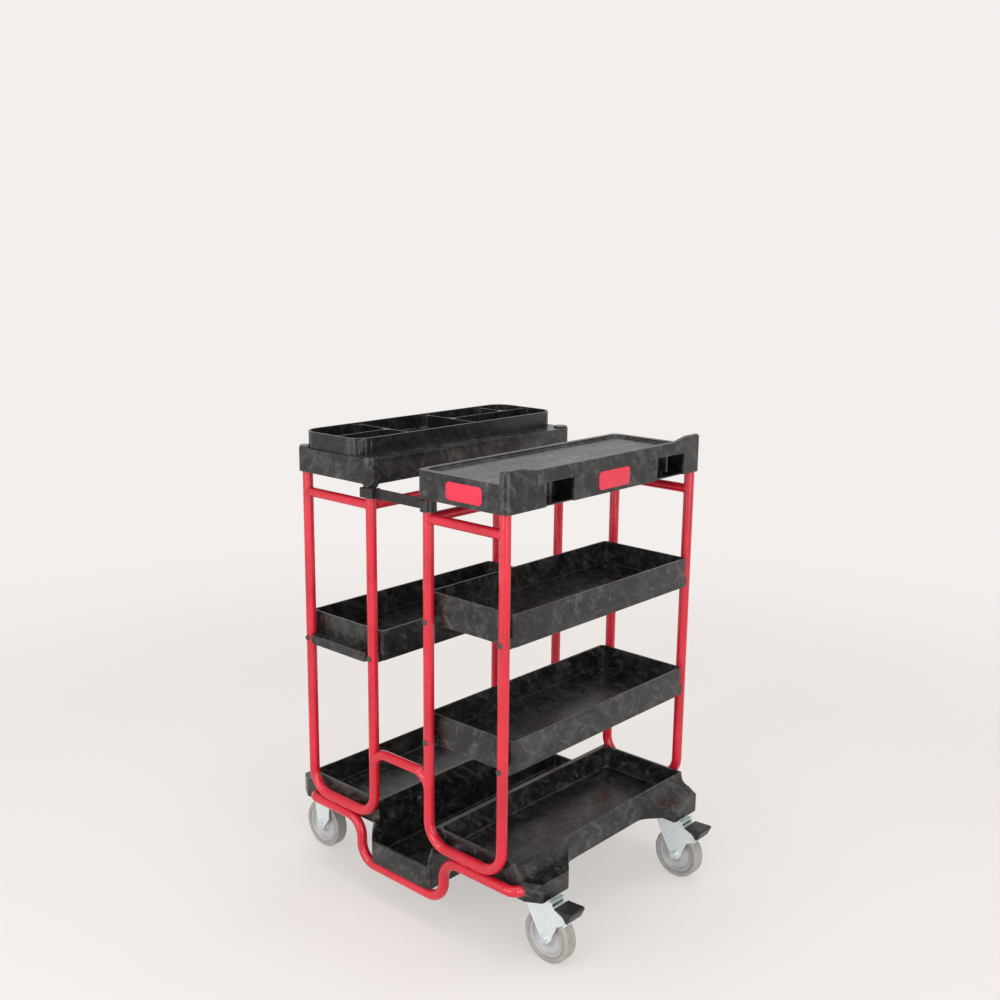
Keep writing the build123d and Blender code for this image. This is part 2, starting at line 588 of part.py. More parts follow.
def shelf_bolts(side):
    """Bolts through the posts into the shelves of one side, with their nuts."""
    pieces = []
    reach = POST_Y + TUBE_R - NUT_SEAT_Y
    for z in shelf_heights(side):
        for x in (side * POST_INNER_X, side * POST_OUTER_X):
            for end in (-1, 1):
                height = z + BOLT_Z_IN_SHELF
                bolt = Pos(x, -POST_Y - TUBE_R, height) * button_bolt(reach + 6, TUBE_R)
                nut = Pos(x, -NUT_SEAT_Y, height) * hex_nut(NUT_THICK)
                pieces += [mirrored(bolt, 1, -end), mirrored(nut, 1, -end)]
    return Compound(children=pieces)


def base_bolts():
    """Bolts from inside the base trays into the bottom bars of the loops."""
    pieces = []
    for side in (-1, 1):
        for x in base_bolt_x(side):
            for end in (-1, 1):
                bolt = Pos(x, BASE_Y - RIM_WALL, LOOP_Z) * button_bolt(RIM_WALL + 8)
                pieces.append(mirrored(bolt, 1, -end))
    return Compound(children=pieces)


def well_bolts():
    """Bolts that join the ladder well to the trays beside it."""
    pieces = []
    for side in (-1, 1):
        turn = Rot(0, 0, -90 * side)
        for y in (-WELL_BOLT_Y, WELL_BOLT_Y):
            bolt_seat = Pos(side * (BASE_IN_X - WELL_WALL), y, WELL_BOLT_Z)
            nut_seat = Pos(side * (BASE_IN_X + RIM_WALL), y, WELL_BOLT_Z)
            pieces.append(bolt_seat * turn * button_bolt(WELL_BOLT_LENGTH))
            pieces.append(nut_seat * turn * hex_nut(NUT_THICK))
    return Compound(children=pieces)


def label_plate(width, height):
    """Plain blank plate, lying in the XZ plane with its front at -Y."""
    plate = extrude(Plane.XZ * RectangleRounded(width, height, 9), LABEL_THICK)
    return fillet(plate.faces().sort_by(Axis.Y)[0].edges(), 0.6)


# ---- casters ------------------------------------------------------------
# Each is drawn at its swivel axis, trailing towards +X, and then moved or mirrored.
def caster_plate():
    plate = rounded_slab(-PLATE_X / 2, PLATE_X / 2, -PLATE_Y / 2, PLATE_Y / 2,
                         EAR_BOTTOM_Z - PLATE_THICK, EAR_BOTTOM_Z, 8)
    for dx in (-PLATE_BOLT_X, PLATE_BOLT_X):
        for dy in (-PLATE_BOLT_Y, PLATE_BOLT_Y):
            plate -= rod_z(dx, dy, 0, 200, PLATE_HOLE_R)
    plate += rod_z(0, 0, EAR_BOTTOM_Z - PLATE_THICK - 3, EAR_BOTTOM_Z - 1, 27)
    pin = rod_z(0, 0, FORK_CROWN_Z - 12, EAR_BOTTOM_Z - 2, KINGPIN_R)
    head = rod_z(0, 0, FORK_CROWN_Z - 14, FORK_CROWN_Z - FORK_THICK - 3.4, 11)
    return plate + pin + fillet(head.edges().filter_by(GeomType.CIRCLE).sort_by(Axis.Z)[0], 2)


def fork_arms(face):
    """A pair of arms of the given side view, flared towards their front edges."""
    near = FORK_INSIDE / 2
    far = near + FORK_THICK
    plan = make_face(Polyline((-40, near + FORK_FLARE), (FORK_CREASE_X, near), (100, near),
                              (100, far), (FORK_CREASE_X, far), (-40, far + FORK_FLARE),
                              close=True))
    arm = extrude(plan, 200) & extrude(Plane.XZ * face, 60, both=True)
    return arm + mirror(arm, about=Plane.XZ)


def plain_arm_face():
    t = CASTER_TRAIL
    return fillet(make_face(Polyline((-12, FORK_CROWN_Z), (47, FORK_CROWN_Z), (45, 108),
                                     (t + 12, WHEEL_R - 2), (t + 6, WHEEL_R - 11),
                                     (t - 8, WHEEL_R - 11), (t - 16, WHEEL_R + 2), (-7, 84),
                                     close=True)).vertices(), 5)


def braked_arm_face():
    """Arm with a lobe that reaches out to the pedal's pivot."""
    t = CASTER_TRAIL
    px, pz = PEDAL_PIVOT
    face = make_face(Polyline((-28, FORK_CROWN_Z), (45, FORK_CROWN_Z), (45, 140),
                              (px + 5, pz + 10), (px + 11, pz), (px + 3, pz - 11), (t + 34, 99),
                              (t + 24, 78), (t + 18, WHEEL_R), (t + 8, WHEEL_R - 11),
                              (t - 8, WHEEL_R - 10), (t - 14, WHEEL_R + 4), (-22, 124),
                              close=True))
    return fillet(face.vertices(), 3.5)


def caster_fork(arm_face):
    """Swivel fork: race, crown and two tapering arms about the wheel."""
    race_top = EAR_BOTTOM_Z - PLATE_THICK - 3.4
    race = rod_z(0, 0, FORK_CROWN_Z - 1, race_top, 31)
    race = fillet(race.edges().filter_by(GeomType.CIRCLE).sort_by(Axis.Z)[-1], 2)
    half = FORK_INSIDE / 2 + FORK_THICK
    crown = block(-30, 47, -half, half, FORK_CROWN_Z - FORK_THICK, FORK_CROWN_Z)
    crown += rod_z(0, 0, FORK_CROWN_Z - FORK_THICK, FORK_CROWN_Z, 33)
    fork = race + crown + (fork_arms(arm_face) & block(-60, 100, -60, 60, 0, FORK_CROWN_Z))
    fork -= rod_z(0, 0, 0, 200, KINGPIN_R + AXLE_CLEAR)
    return fork - rod_y(CASTER_TRAIL, -40, 40, WHEEL_R, AXLE_R)


def caster_wheel():
    """Wheel centre with a bearing hub, a thin web and a rim."""
    half = WHEEL_WIDTH / 2
    wheel = rod_y(0, -half + 2, half - 2, 0, WHEEL_CORE_R)
    for end in (-1, 1):
        y0, y1 = sorted((end * (half - 8), end * half))
        ring = rod_y(0, y0, y1, 0, WHEEL_CORE_R - 5) - rod_y(0, y0 - 1, y1 + 1, 0, 17)
        wheel -= ring
    wheel += rod_y(0, -half - 1.5, half + 1.5, 0, 12)
    wheel = Pos(CASTER_TRAIL, 0, WHEEL_R) * wheel
    return wheel - rod_y(CASTER_TRAIL, -40, 40, WHEEL_R, AXLE_R + AXLE_CLEAR)


def caster_tyre():
    half = WHEEL_WIDTH / 2
    tyre = rod_y(0, -half, half, 0, WHEEL_R)
    tyre = fillet(tyre.edges().filter_by(GeomType.CIRCLE), 5)
    tyre -= rod_y(0, -half - 1, half + 1, 0, WHEEL_CORE_R)
    return Pos(CASTER_TRAIL, 0, WHEEL_R) * tyre


def caster_axle():
    """Axle bolt with a hex head, a lock nut and two spacer sleeves."""
    half = FORK_INSIDE / 2
    outer = half + FORK_THICK
    axle = rod_y(0, -outer - 1, outer + 9, 0, AXLE_R)
    head = Rot(90, 0, 0) * extrude(RegularPolygon(8.5, 6), 6)
    axle += Pos(0, -outer, 0) * fillet(head.edges().filter_by(Plane.XZ).sort_by(Axis.Y)[:6], 0.8)
    nut = Rot(-90, 0, 0) * extrude(RegularPolygon(8.5, 6), 8)
    axle += Pos(0, outer, 0) * nut
    for end in (-1, 1):
        y0, y1 = sorted((end * (WHEEL_WIDTH / 2 + 1.9), end * half))
        axle += rod_y(0, y0, y1, 0, 8)
    return Pos(CASTER_TRAIL, 0, WHEEL_R) * axle


def caster_bolts():
    """Cap screws that hold the four caster plates to the base ears."""
    pieces = []
    for side in (-1, 1):
        for middle_y in CASTER_Y:
            for dx in (-PLATE_BOLT_X, PLATE_BOLT_X):
                for dy in (-PLATE_BOLT_Y, PLATE_BOLT_Y):
                    x = side * (CASTER_X + dx)
                    y = middle_y + dy
                    seat = EAR_BOTTOM_Z - PLATE_THICK
                    screw = rod_z(x, y, seat, EAR_BOTTOM_Z + 14, PLATE_BOLT_R)
                    head = Pos(x, y, seat - 4) * extrude(RegularPolygon(6.2, 6), 4)
                    pieces.append(screw + head)
    return Compound(children=pieces)


def brake_lever():
    """Zinc lever pinned between the fork arms, with the brake shoe behind the tyre."""
    px, pz = PEDAL_PIVOT
    half = FORK_INSIDE / 2 - 1
    outline = Polyline((px - 25, pz + 14), (px - 25, pz + 21.5), (px - 16, pz + 21.5),
                       (px - 10, pz + 20.5), (px + 2, pz + 16.5), (px + 14, pz + 6),
                       (px + 14, pz - 6), (px + 5, pz - 16.7), (px - 4, pz - 8.5),
                       (px - 10, pz + 2), close=True)
    lever = extrude(Plane.XZ * make_face(outline), half, both=True)
    return lever - rod_y(px, -40, 40, pz, PEDAL_PIN_R + AXLE_CLEAR)


def brake_pedal():
    """Black foot wedge moulded over the top of the lever, clear of the fork arms."""
    px, pz = PEDAL_PIVOT
    outline = Polyline((px - 16, pz + 23), (px + 27, pz + 26), (px + 29.5, pz + 22),
                       (px + 19, pz + 0.5), (px + 15, pz + 1.5), (px + 11, pz + 9),
                       (px + 2, pz + 15), (px - 16, pz + 20.5), close=True)
    wedge = extrude(Plane.XZ * make_face(outline), PEDAL_HALF_WIDTH, both=True)
    return wedge - brake_lever()


def brake_pin():
    px, pz = PEDAL_PIVOT
    outer = FORK_INSIDE / 2 + FORK_THICK
    return rod_y(px, -outer, outer, pz, PEDAL_PIN_R)


def caster_parts():
    """Node name ending, shape at the swivel axis, and whether only braked casters have it."""
    px, pz = PEDAL_PIVOT
    fork = caster_fork(plain_arm_face())
    braked_fork = caster_fork(braked_arm_face()) - rod_y(px, -40, 40, pz, PEDAL_PIN_R)
    return {"plate": caster_plate(), "wheel": caster_wheel(), "tyre": caster_tyre(),
            "axle": caster_axle(), "fork": fork, "braked_fork": braked_fork,
            "brake_lever": brake_lever(), "brake_pedal": brake_pedal(), "brake_pin": brake_pin()}


# ---- the whole cart -----------------------------------------------------
def build_all():
    nodes = {}
    for side, hand in ((-1, "left"), (1, "right")):
        loop = frame_loop(side)
        rail = short_rail(side)
        nodes[f"front_{hand}_loop"] = loop
        nodes[f"back_{hand}_loop"] = mirrored(loop, 1, -1)
        nodes[f"{hand}_cross_rails"] = Compound(children=[rail, mirrored(rail, 1, -1)])
        nodes[f"{hand}_bay_rail"] = bay_rail(side)
        nodes[f"{hand}_shelf_bolts"] = shelf_bolts(side)
    for end, where in ((1, "front"), (-1, "back")):
        nodes[f"{where}_arch"] = mirrored(arch(), 1, end)
        nodes[f"{where}_base_tube"] = mirrored(base_tube(), 1, end)
    nodes["right_base_tray"] = base_tray(BASE_TUBE_RIGHT_END)
    nodes["left_base_tray"] = mirrored(base_tray(BASE_TUBE_LEFT_END), -1, 1)
    nodes["ladder_well"] = ladder_well()
    nodes["worktop"] = worktop()
    nodes["left_deck"] = left_deck()
    nodes["upper_right_shelf"] = hanging_shelf(1, UPPER_SHELF_Z)
    nodes["lower_right_shelf"] = hanging_shelf(1, LOWER_SHELF_Z)
    nodes["tool_shelf"] = hanging_shelf(-1, TOOL_SHELF_Z)
    nodes["tool_rack"] = tool_rack()
    nodes["parts_bin"] = parts_bin()
    nodes["gate_bar"] = gate_bar()
    nodes["base_bolts"] = base_bolts()
    nodes["well_bolts"] = well_bolts()
    nodes["caster_bolts"] = caster_bolts()
    front_x, width, height = FRONT_LABEL
    nodes["front_label_plate"] = Pos(front_x, -DECK_Y, LABEL_Z) * label_plate(width, height)
    side_y, width, height = SIDE_LABEL
    side_plate = Rot(0, 0, 90) * label_plate(width, height)
    nodes["side_label_plate"] = Pos(DECK_OUT_X, side_y, LABEL_Z) * side_plate
    pieces = caster_parts()
    for side, hand in ((-1, "left"), (1, "right")):
        for middle_y, where in zip(CASTER_Y, ("front", "back")):
            name = f"{where}_{hand}_caster"
            names = ["plate", "wheel", "tyre", "axle", "fork"]
            if side > 0:
                names = ["plate", "wheel", "tyre", "axle", "braked_fork",
                         "brake_lever", "brake_pedal", "brake_pin"]
            for key in names:
                turned = mirrored(pieces[key], 1, -1) if middle_y > 0 else pieces[key]
                placed = Pos(CASTER_X, middle_y, 0) * turned
                nodes[f"{name}_{key.replace('braked_', '')}"] = mirrored(placed, side, 1)
    return nodes


os.makedirs("parts", exist_ok=True)
for node, shape in build_all().items():
    save(shape, node)
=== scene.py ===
import json
import math

import bmesh
import bpy
from mathutils import Matrix, Vector


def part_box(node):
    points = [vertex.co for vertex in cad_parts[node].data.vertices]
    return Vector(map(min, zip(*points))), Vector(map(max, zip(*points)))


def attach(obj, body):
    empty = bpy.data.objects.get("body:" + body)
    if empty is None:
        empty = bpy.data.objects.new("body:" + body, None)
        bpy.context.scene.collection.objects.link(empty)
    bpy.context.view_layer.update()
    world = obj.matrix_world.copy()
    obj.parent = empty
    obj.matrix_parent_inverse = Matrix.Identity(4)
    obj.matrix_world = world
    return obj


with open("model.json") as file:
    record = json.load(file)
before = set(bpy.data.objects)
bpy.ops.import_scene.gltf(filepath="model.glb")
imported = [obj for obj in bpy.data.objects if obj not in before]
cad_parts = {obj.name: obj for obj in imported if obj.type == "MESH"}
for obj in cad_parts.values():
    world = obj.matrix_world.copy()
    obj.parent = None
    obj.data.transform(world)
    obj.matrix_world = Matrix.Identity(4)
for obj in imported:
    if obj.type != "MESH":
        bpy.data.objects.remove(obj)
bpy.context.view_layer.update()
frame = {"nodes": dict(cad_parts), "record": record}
NODES = frame["nodes"]
SLOT_OF = {row["node"]: row["material_slot"] for row in frame["record"]["subparts"]}
BAY_X = sum(corner.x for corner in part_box("front_arch")) / 2     # middle of the ladder bay

# ---- camera and stage ---------------------------------------------------
CAMERA_AT = (BAY_X + 1.8295, -2.0289, 1.5114)
CAMERA_YAW = 42.08
CAMERA_PITCH = 12.15
CAMERA_ROLL = 0.61
CAMERA_LENS = 42.78
HORIZON = (0.90, 0.862, 0.838)
OVERHEAD = (0.60, 0.585, 0.57)
FLOOR_COLOUR = (0.34, 0.320, 0.308)
FLOOR_GLOW = (0.462, 0.447, 0.436)      # keeps the shadow under the object pale
FLOOR_RADIUS = 8.0
FLOOR_DROP = 0.0006
FLOOR_FADE = (1.2, 3.4)          # the floor fades into the backdrop between these radii


def make_camera():
    data = bpy.data.cameras.new("camera")
    data.lens = CAMERA_LENS
    data.sensor_width = 36.0
    data.clip_end = 60.0
    camera = bpy.data.objects.new("camera", data)
    turn = Matrix.Rotation(math.radians(CAMERA_YAW), 4, "Z")
    tilt = Matrix.Rotation(math.radians(90.0 - CAMERA_PITCH), 4, "X")
    roll = Matrix.Rotation(math.radians(CAMERA_ROLL), 4, "Z")
    camera.matrix_world = Matrix.Translation(CAMERA_AT) @ turn @ tilt @ roll
    bpy.context.scene.collection.objects.link(camera)
    bpy.context.scene.camera = camera


def make_light(name, where, aim, size, power, colour=(1.0, 1.0, 1.0)):
    data = bpy.data.lights.new(name, "AREA")
    data.shape = "RECTANGLE"
    data.size, data.size_y = size
    data.energy = power
    data.color = colour
    light = bpy.data.objects.new(name, data)
    direction = Vector(aim) - Vector(where)
    light.rotation_euler = direction.to_track_quat("-Z", "Y").to_euler()
    light.location = where
    bpy.context.scene.collection.objects.link(light)


def make_lights():
    """Tall strip boxes that draw thin bright lines on tubes and corners, and a soft top."""
    aim = (0.0, 0.0, 0.7)
    make_light("front_strip", (-0.9, -3.0, 1.3), aim, (0.30, 2.4), 18.0)
    make_light("side_strip", (3.1, -0.5, 1.3), aim, (0.30, 2.4), 16.0)
    make_light("left_of_camera", (0.5, -3.1, 1.3), aim, (0.22, 2.2), 26.0)
    make_light("right_of_camera", (2.9, -1.5, 1.3), aim, (0.22, 2.2), 26.0)
    make_light("camera_side", (1.5, -3.0, 2.4), (0.0, 0.0, 0.5), (1.2, 1.2), 8.0)
    make_light("top", (0.1, 0.2, 4.2), (0.0, 0.0, 0.0), (3.6, 3.6), 80.0)


def make_world():
    """A bright band about the horizon under a dimmer ceiling."""
    world = bpy.data.worlds.new("studio")
    bpy.context.scene.world = world
    world.use_nodes = True
    tree = world.node_tree
    where = tree.nodes.new("ShaderNodeTexCoord")
    split = tree.nodes.new("ShaderNodeSeparateXYZ")
    ramp = tree.nodes.new("ShaderNodeValToRGB")
    ramp.color_ramp.interpolation = "EASE"
    low, high = ramp.color_ramp.elements
    low.position, low.color = 0.30, (*HORIZON, 1.0)
    high.position, high.color = 0.75, (*OVERHEAD, 1.0)
    tree.links.new(where.outputs["Generated"], split.inputs["Vector"])
    tree.links.new(split.outputs["Z"], ramp.inputs["Fac"])
    tree.links.new(ramp.outputs["Color"], tree.nodes["Background"].inputs["Color"])
    bpy.context.scene.view_settings.view_transform = "Standard"


def make_floor():
    """A pale disc that turns clear towards its rim."""
    shape = bmesh.new()
    bmesh.ops.create_circle(shape, cap_ends=True, segments=96, radius=FLOOR_RADIUS)
    mesh = bpy.data.meshes.new("floor")
    shape.to_mesh(mesh)
    shape.free()
    floor = bpy.data.objects.new("floor", mesh)
    floor.location.z = -FLOOR_DROP
    bpy.context.scene.collection.objects.link(floor)
    material = bpy.data.materials.new("pale_floor")
    material.use_nodes = True
    tree = material.node_tree
    tree.nodes.clear()
    output = tree.nodes.new("ShaderNodeOutputMaterial")
    mix = tree.nodes.new("ShaderNodeMixShader")
    clear = tree.nodes.new("ShaderNodeBsdfTransparent")
    pale = tree.nodes.new("ShaderNodeBsdfDiffuse")
    pale.inputs["Color"].default_value = (*FLOOR_COLOUR, 1.0)
    glow = tree.nodes.new("ShaderNodeEmission")
    glow.inputs["Color"].default_value = (*FLOOR_GLOW, 1.0)
    both = tree.nodes.new("ShaderNodeAddShader")
    where = tree.nodes.new("ShaderNodeTexCoord")
    length = tree.nodes.new("ShaderNodeVectorMath")
    length.operation = "LENGTH"
    fade = tree.nodes.new("ShaderNodeMapRange")
    fade.interpolation_type = "SMOOTHSTEP"
    fade.inputs["From Min"].default_value = FLOOR_FADE[0]
    fade.inputs["From Max"].default_value = FLOOR_FADE[1]
    tree.links.new(where.outputs["Object"], length.inputs[0])
    tree.links.new(length.outputs["Value"], fade.inputs["Value"])
    tree.links.new(fade.outputs["Result"], mix.inputs["Fac"])
    tree.links.new(pale.outputs["BSDF"], both.inputs[0])
    tree.links.new(glow.outputs["Emission"], both.inputs[1])
    tree.links.new(both.outputs["Shader"], mix.inputs[1])
    tree.links.new(clear.outputs["BSDF"], mix.inputs[2])
    tree.links.new(mix.outputs["Shader"], output.inputs["Surface"])
    mesh.materials.append(material)


# ---- material helpers ---------------------------------------------------
class Nodes:
    """Short names for building one material's node tree."""

    def __init__(self, name):
        self.material = bpy.data.materials.new(name)
        self.material.use_nodes = True
        self.tree = self.material.node_tree
        self.shader = self.tree.nodes["Principled BSDF"]
        self.where = self.tree.nodes.new("ShaderNodeTexCoord").outputs["Object"]

    def link(self, source, target):
        self.tree.links.new(source, target)

    def noise(self, scale, detail=3.0, roughness=0.55, distortion=0.0, vector=None):
        node = self.tree.nodes.new("ShaderNodeTexNoise")
        node.inputs["Scale"].default_value = scale
        node.inputs["Detail"].default_value = detail
        node.inputs["Roughness"].default_value = roughness
        node.inputs["Distortion"].default_value = distortion
        self.link(vector or self.where, node.inputs["Vector"])
        return node.outputs["Fac"]

    def ramp(self, value, stops):
        node = self.tree.nodes.new("ShaderNodeValToRGB")
        elements = node.color_ramp.elements
        while len(elements) < len(stops):
            elements.new(0.5)
        for element, (place, colour) in zip(elements, stops):
            element.position = place
            element.color = (*colour, 1.0)
        self.link(value, node.inputs["Fac"])
        return node.outputs["Color"]

    def spread(self, value, low, high, start=0.3, end=0.7):
        node = self.tree.nodes.new("ShaderNodeMapRange")
        node.inputs["From Min"].default_value = start
        node.inputs["From Max"].default_value = end
        node.inputs["To Min"].default_value = low
        node.inputs["To Max"].default_value = high
        self.link(value, node.inputs["Value"])
        return node.outputs["Result"]

    def mix(self, amount, first, second, kind="MIX"):
        node = self.tree.nodes.new("ShaderNodeMix")
        node.data_type = "RGBA"
        node.blend_type = kind
        self.link(first, node.inputs["A"])
        self.link(second, node.inputs["B"])
        if isinstance(amount, float):
            node.inputs["Factor"].default_value = amount
        else:
            self.link(amount, node.inputs["Factor"])
        return node.outputs["Result"]

    def bump(self, height, strength, distance, under=None):
        node = self.tree.nodes.new("ShaderNodeBump")
        node.inputs["Strength"].default_value = strength
        node.inputs["Distance"].default_value = distance
        self.link(height, node.inputs["Height"])
        if under is not None:
            self.link(under, node.inputs["Normal"])
        return node.outputs["Normal"]

    def turned(self, angles, scale):
        """Object coordinates turned and stretched, for streaks that run one way."""
        node = self.tree.nodes.new("ShaderNodeMapping")
        node.vector_type = "TEXTURE"
        node.inputs["Rotation"].default_value = [math.radians(a) for a in angles]
        node.inputs["Scale"].default_value = scale
        self.link(self.where, node.inputs["Vector"])
        return node.outputs["Vector"]

    def math(self, kind, first, second, clamp=False):
        node = self.tree.nodes.new("ShaderNodeMath")
        node.operation = kind
        node.use_clamp = clamp
        for value, socket in ((first, node.inputs[0]), (second, node.inputs[1])):
            if isinstance(value, float):
                socket.default_value = value
            else:
                self.link(value, socket)
        return node.outputs["Value"]

    def edges(self, radius):
        """1 along convex and concave edges within the radius, 0 on open faces."""
        bevel = self.tree.nodes.new("ShaderNodeBevel")
        bevel.samples = 4
        bevel.inputs["Radius"].default_value = radius
        facing = self.tree.nodes.new("ShaderNodeNewGeometry")
        dot = self.tree.nodes.new("ShaderNodeVectorMath")
        dot.operation = "DOT_PRODUCT"
        self.link(bevel.outputs["Normal"], dot.inputs[0])
        self.link(facing.outputs["Normal"], dot.inputs[1])
        return self.spread(dot.outputs["Value"], 1.0, 0.0, 0.80, 0.995)

    def finish(self, colour, roughness, normal, **fixed):
        self.link(colour, self.shader.inputs["Base Color"])
        self.link(roughness, self.shader.inputs["Roughness"])
        self.link(normal, self.shader.inputs["Normal"])
        for socket, value in fixed.items():
            self.shader.inputs[socket.replace("_", " ")].default_value = value
        return self.material


def swirled_plastic(name, dark, middle, light, palest_tone, rough=(0.24, 0.40)):
    """Structural foam: a dark moulding with pale flow swirls, brushed-out arcs, a grain, and paler
    edges that are partly rubbed wear and partly a painted highlight.
    """
    n = Nodes(name)
    cloud = n.noise(11.0, detail=7.0, roughness=0.62, distortion=1.6)
    ones = n.noise(46.0, detail=5.0, roughness=0.6, distortion=1.1,
                   vector=n.turned((35.0, 40.0, 20.0), (1.0, 1.0, 3.2)))
    others = n.noise(40.0, detail=5.0, roughness=0.6, distortion=1.4,
                     vector=n.turned((-40.0, 30.0, -25.0), (1.0, 3.4, 1.0)))
    patches = n.noise(18.0, detail=2.0)
    base = n.ramp(cloud, [(0.38, dark), (0.50, middle), (0.66, light)])
    stroke = n.ramp(ones, [(0.42, dark), (0.54, middle), (0.64, light)])
    counter = n.ramp(others, [(0.43, dark), (0.54, middle), (0.66, light)])
    strokes = n.mix(n.spread(patches, 0.0, 1.0, 0.42, 0.58), stroke, counter)
    colour = n.mix(0.6, base, strokes)
    # paler along the edges: partly rubbed wear, partly a painted highlight standing in for gloss
    # catching the light there
    rubbed = n.math("MULTIPLY", n.edges(0.0022), n.spread(n.noise(85.0, detail=4.0), 0.10, 0.75))
    colour = n.mix(rubbed, colour, n.ramp(cloud, [(0.3, palest_tone), (0.7, palest_tone)]))
    grain = n.noise(1300.0, detail=2.0)
    pebble = n.noise(240.0, detail=3.0)
    sink = n.noise(22.0, detail=2.0)
    roughness = n.spread(ones, *rough)
    normal = n.bump(sink, 0.08, 0.004)
    normal = n.bump(pebble, 0.11, 0.0008, normal)
    normal = n.bump(grain, 0.14, 0.0003, normal)
    return n.finish(colour, roughness, normal, Specular_IOR_Level=0.42)


def powder_coat(name, deep, main, bright):
    """Glossy powder coat: orange peel, faint drift of colour, rubbed edges and dull scuffs."""
    n = Nodes(name)
    drift = n.noise(9.0, detail=5.0, roughness=0.6)
    colour = n.ramp(drift, [(0.32, deep), (0.52, main), (0.72, bright)])
    speck = n.noise(620.0, detail=2.0)
    colour = n.mix(n.spread(speck, 0.0, 0.5, 0.70, 0.78), colour,
                   n.ramp(drift, [(0.3, deep), (0.7, deep)]))
    rubbed = n.math("MULTIPLY", n.edges(0.0012), n.spread(n.noise(140.0, detail=4.0), 0.0, 0.8))
    primer = n.ramp(drift, [(0.3, (0.30, 0.10, 0.09)), (0.7, (0.42, 0.18, 0.16))])
    colour = n.mix(rubbed, colour, primer)
    peel = n.noise(480.0, detail=2.0)
    wave = n.noise(110.0, detail=2.0)
    scuff = n.noise(60.0, detail=7.0, roughness=0.72, distortion=0.9,
                    vector=n.turned((0.0, 0.0, 0.0), (1.0, 1.0, 2.5)))
    roughness = n.spread(scuff, 0.22, 0.38, 0.42, 0.66)
    normal = n.bump(wave, 0.07, 0.0008)
    normal = n.bump(peel, 0.08, 0.0004, normal)
    return n.finish(colour, roughness, normal, Specular_IOR_Level=0.42, Coat_Weight=0.25,
                    Coat_Roughness=0.12)


def zinc(name, tone, rough):
    """Zinc plating: bluish bright metal with fine spangle, drawn marks and dull edges."""
    n = Nodes(name)
    spangle = n.noise(150.0, detail=5.0, roughness=0.6, distortion=0.5)
    bright = tuple(min(1.0, 1.06 * c) for c in tone)
    dull = tuple(0.88 * c for c in tone)
    colour = n.ramp(spangle, [(0.34, dull), (0.5, tone), (0.66, bright)])
    stain = n.noise(26.0, detail=4.0, roughness=0.6)
    teal = (0.78 * tone[0], 0.90 * tone[1], 0.90 * tone[2])
    colour = n.mix(n.spread(stain, 0.0, 0.40, 0.52, 0.70), colour,
                   n.ramp(spangle, [(0.3, teal), (0.7, tone)]))
    rubbed = n.math("MULTIPLY", n.edges(0.0010), 0.45)
    colour = n.mix(rubbed, colour, n.ramp(spangle, [(0.3, dull), (0.7, bright)]))
    mark = n.noise(320.0, detail=5.0, vector=n.turned((0.0, 0.0, 0.0), (1.0, 1.0, 5.0)))
    roughness = n.spread(spangle, rough, rough + 0.12)
    normal = n.bump(mark, 0.08, 0.0003)
    return n.finish(colour, roughness, normal, Metallic=0.6)


def rubber(name, dark, light, palest_tone, rough, scale=28.0):
    """Wheel rubber or plain moulded plastic: dusty patches, fine pits and rubbed edges."""
    n = Nodes(name)
    patch = n.noise(scale, detail=6.0, roughness=0.64, distortion=0.6)
    colour = n.ramp(patch, [(0.34, dark), (0.68, light)])
    dust = n.noise(6.0 * scale, detail=4.0, roughness=0.7)
    colour = n.mix(n.spread(dust, 0.0, 0.35, 0.50, 0.72), colour,
                   n.ramp(patch, [(0.3, light), (0.7, palest_tone)]))
    rubbed = n.math("MULTIPLY", n.edges(0.0016), n.spread(dust, 0.1, 0.8))
    colour = n.mix(rubbed, colour, n.ramp(patch, [(0.3, palest_tone), (0.7, palest_tone)]))
    grain = n.noise(900.0, detail=3.0)
    roughness = n.spread(patch, rough, rough + 0.18)
    normal = n.bump(dust, 0.08, 0.0006)
    normal = n.bump(grain, 0.16, 0.0003, normal)
    return n.finish(colour, roughness, normal, Specular_IOR_Level=0.4)


def grey(*levels):
    """Slightly warm greys, one per level of brightness."""
    return [(level, 0.985 * level, 0.93 * level) for level in levels]


def make_materials():
    return {
        "red_powder_coat": powder_coat("red_powder_coat", (0.42, 0.006, 0.020),
                                       (0.52, 0.009, 0.026), (0.60, 0.014, 0.036)),
        "red_plate": powder_coat("red_plate", (0.52, 0.008, 0.032), (0.60, 0.012, 0.044),
                                 (0.66, 0.020, 0.055)),
        "grey_tyre": rubber("grey_tyre", (0.25, 0.24, 0.225), (0.35, 0.335, 0.305),
                            (0.43, 0.41, 0.37), 0.42),
        "grey_wheel_core": rubber("grey_wheel_core", (0.37, 0.37, 0.375), (0.47, 0.47, 0.475),
                                  (0.56, 0.56, 0.555), 0.34),
        "black_pedal": rubber("black_pedal", *grey(0.008, 0.018, 0.05), 0.32),
        "zinc_plate": zinc("zinc_plate", (0.70, 0.77, 0.78), 0.30),
        "zinc_bolt": zinc("zinc_bolt", (0.60, 0.66, 0.68), 0.24),
        "dark_bolt": rubber("dark_bolt", *grey(0.030, 0.060, 0.16), 0.30, scale=90.0),
        "black_bin_plastic": swirled_plastic("black_bin_plastic", *grey(0.003, 0.008, 0.026, 0.07),
                                             rough=(0.22, 0.36)),
        "black_gate_plastic": swirled_plastic("black_gate_plastic", *grey(0.004, 0.010, 0.030, 0.08)),
        "black_foam_plastic": swirled_plastic("black_foam_plastic", *grey(0.004, 0.013, 0.078, 0.14)),
    }


# ---- edges of the CAD pieces --------------------------------------------
MOULDED = {"black_foam_plastic": 0.0016, "black_bin_plastic": 0.0010, "black_gate_plastic": 0.0012,
           "black_pedal": 0.0010, "red_plate": 0.0003}
METAL = {"zinc_plate": 0.0004, "zinc_bolt": 0.0003, "dark_bolt": 0.0003, "red_powder_coat": 0.0004}
SHARP = math.radians(28.0)
MERGE_GAP = 0.000005


